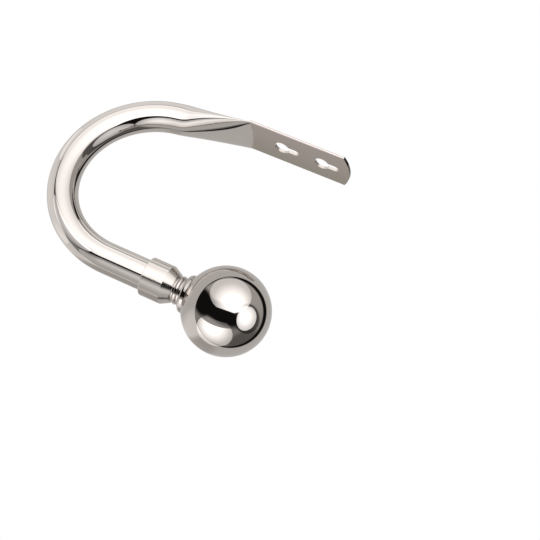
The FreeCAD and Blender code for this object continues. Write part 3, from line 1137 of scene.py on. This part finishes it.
@dataclass(frozen=True)
class Softbox:
    """A round soft light, whose direction is given as right, up and back of the camera."""

    name: str
    lit: Lit
    towards: tuple[float, float, float]
    reach: float
    hot_spot: Point
    core: float
    rim: float
    spread: float = 1.2
    flag: Flag | None = None

    def lamp(self, distance: float) -> bpy.types.Light:
        """Make the lamp, brightest at its hot spot and dark behind its flag.

        Args:
            distance: how far from the part it stands.

        Returns:
            A round area light.
        """
        lamp = bpy.data.lights.new(self.name, "AREA")
        lamp.shape = "DISK"
        radius = distance * math.tan(self.reach)
        lamp.size = 2 * radius
        lamp.energy = math.pi * math.pi * radius ** 2  # so that a glow of 1 looks as bright as white paper
        lamp.use_nodes = True
        graph = Graph(lamp.node_tree)
        spot = graph.out("ShaderNodeNewGeometry", output="Parametric")
        across = graph.along(spot, (2.0, 0.0, 0.0)) - (1 + self.hot_spot[0])
        rise = graph.along(spot, (0.0, 2.0, 0.0)) - (1 + self.hot_spot[1])
        fall = graph.step(graph.distance(across, rise), 0.0, self.spread)
        glow = graph.mix(fall, (self.core,) * 3, (self.rim,) * 3)
        if self.flag:
            glow = self.flag.cut(graph, spot, glow)
        shine = graph.out("ShaderNodeEmission", None, {"Color": glow, "Strength": 1.0})
        graph.node("ShaderNodeOutputLight", None, {"Surface": shine})
        return lamp


SOFTBOXES = (
    Softbox(
        "ball_overhead_softbox", Lit.BALL, (0.22, 0.73, 0.64), math.radians(49), (0.0, -0.58),
        core=1.9, rim=0.40, flag=Flag(math.radians(-119), 0.87),
    ),
    Softbox(
        "ball_front_softbox", Lit.BALL, (-0.44, -0.76, 0.52), math.radians(40), (0.1, 0.30),
        core=1.9, rim=0.5, flag=Flag(math.radians(58), 0.38, veil_width=0.36, veil=0.13),
    ),
    Softbox(
        "ball_side_softbox", Lit.BALL, (0.787, -0.268, 0.556), math.radians(26), (-0.2, 0.1),
        core=2.0, rim=0.9,
    ),
    Softbox(
        "arm_overhead_softbox", Lit.ARM, (0.0, 0.70, 0.70), math.radians(52), (-0.10, -0.55),
        core=1.9, rim=0.62, spread=1.4, flag=Flag(math.radians(-105), 0.655),
    ),
    Softbox(
        "arm_front_softbox", Lit.ARM, (-0.447, -0.662, 0.601), math.radians(42), (0.40, 0.30),
        core=1.25, rim=0.32, spread=0.95,
    ),
    Softbox(
        "arm_side_softbox", Lit.ARM, (-0.864, 0.332, 0.379), math.radians(23), (0.3, 0.1),
        core=0.9, rim=0.5,
    ),
    Softbox(
        "arm_back_softbox", Lit.ARM, (-0.87, 0.26, -0.40), math.radians(36), (0.0, 0.0),
        core=0.35, rim=0.25,
    ),
    Softbox(
        "arm_top_softbox", Lit.ARM, (-0.15, 0.90, -0.42), math.radians(34), (0.0, 0.0),
        core=0.40, rim=0.30,
    ),
    Softbox(
        "arm_low_softbox", Lit.ARM, (0.705, -0.441, 0.555), math.radians(28), (-0.2, 0.2),
        core=0.90, rim=0.50,
    ),
)


@dataclass
class Studio:
    """Floor, surroundings, softboxes and camera."""

    camera: PhotoCamera
    pieces: dict[Lit, list[bpy.types.Object]]
    surroundings: Surroundings = Surroundings()
    softboxes: tuple[Softbox, ...] = SOFTBOXES
    light_distance: float = 1.1
    floor_drop: float = 1.9
    floor_size: float = 24.0
    floor_colour: Colour = (0.9, 0.9, 0.9)

    def build(self) -> None:
        """Set up the whole studio."""
        self._floor()
        self.surroundings.build(self.camera.axes)
        for softbox in self.softboxes:
            self._stand(softbox)
        self.camera.build()
        bpy.context.scene.view_settings.view_transform = "Standard"

    def _floor(self) -> None:
        """Lay a plain pale floor well below the wall-fixed part."""
        Bench.clear()
        bpy.ops.mesh.primitive_plane_add(size=self.floor_size, location=(0.0, 0.0, -self.floor_drop))
        floor = bpy.context.object
        floor.name = "floor"
        material = bpy.data.materials.new("pale_floor")
        material.use_nodes = True
        graph = Graph(material.node_tree)
        matt = graph.out("ShaderNodeBsdfDiffuse", None, {"Color": (*self.floor_colour, 1.0)})
        white = graph.out("ShaderNodeEmission", None, {"Color": (*WHITE, 1.0), "Strength": 1.0})
        surface = graph.out("ShaderNodeMixShader", None, {0: graph.camera_ray(), 1: matt, 2: white})
        graph.node("ShaderNodeOutputMaterial", None, {"Surface": surface})
        floor.data.materials.append(material)
        floor.visible_glossy = False
        floor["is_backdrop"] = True

    def _stand(self, softbox: Softbox) -> None:
        """Stand a softbox where the camera's axes put it, and turn it on its own pieces only.

        Args:
            softbox: the light to set up.
        """
        axes = self.camera.axes
        towards = sum((amount * axis for amount, axis in zip(softbox.towards, axes)), Vector()).normalized()
        side = axes[1].cross(towards).normalized()
        turn = Matrix((side, towards.cross(side), towards)).transposed()
        centre = sum(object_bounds(), Vector()) / 2
        stand = bpy.data.objects.new(softbox.name, softbox.lamp(self.light_distance))
        stand.matrix_world = Matrix.Translation(centre + towards * self.light_distance) @ turn.to_4x4()
        stand.visible_camera = False
        bpy.context.collection.objects.link(stand)
        group = bpy.data.collections.new(softbox.name)
        for piece in self.pieces[softbox.lit]:
            group.objects.link(piece)
        stand.light_linking.receiver_collection = group


def main() -> None:
    """Load the frame, build the pieces in order and set up the studio."""
    logging.basicConfig(level=logging.INFO, format="%(name)s: %(message)s")
    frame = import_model()
    arm = ArmTube()
    centre, direction = arm.ball_centre, arm.leg_direction
    axis = tuple(direction)
    polish = {
        "colour": (0.66, 0.62, 0.595),
        "shade": (0.63, 0.59, 0.565),
        "roughness": 0.035,
        "cloud": 0.02,
        "relief": 0.003 * MM,
    }
    polished = Finish(name="polished_nickel_plate", **polish).material()
    pressed = PressedTubeFinish(
        name="polished_tube_plate",
        crease_x=arm.crease_x,
        tab_half=arm.tab_half,
        tab_depth=arm.tab_depth,
        end_x=arm.end_x,
        end_radius=arm.end_radius,
        satin=0.12,
        # Painted shading on the tab: lighter at the top, darker at the bottom.
        high=(0.68, 0.61, 0.585),
        low=(0.56, 0.525, 0.475),
        **polish,
    ).material()
    satin = TurnedFinish(
        name="satin_turned_nickel",
        colour=(0.66, 0.62, 0.59),
        shade=(0.60, 0.56, 0.53),
        roughness=0.15,
        cloud=0.06,
        relief=0.006 * MM,
        axis=axis,
    ).material()
    brass = TurnedFinish(
        name="turned_brass",
        colour=(0.78, 0.60, 0.30),
        shade=(0.70, 0.52, 0.25),
        roughness=0.28,
        cloud=0.08,
        relief=0.01 * MM,
        axis=axis,
    ).material()
    steel = TurnedFinish(
        name="zinc_steel",
        colour=(0.62, 0.62, 0.63),
        shade=(0.55, 0.55, 0.56),
        roughness=0.35,
        cloud=0.08,
        relief=0.01 * MM,
        axis=axis,
    ).material()
    pieces = {
        Lit.ARM: [arm.build(pressed), EndCollar(centre, direction).build(satin)],
        Lit.BALL: [shape(centre, direction).build(polished) for shape in (FinialNeck, FinialBall)],
    }
    for node, material in (("tube_plug", brass), ("ball_nut", brass), ("joining_stud", steel)):
        for material_slot in frame["nodes"][node].material_slots:
            material_slot.material = material
        LOG.info("%s: keeps its solid, in %s", node, material.name)
    Studio(PhotoCamera(crease=Vector((arm.crease_x, 0.0, 0.0))), pieces).build()


if __name__ == "__main__":
    main()
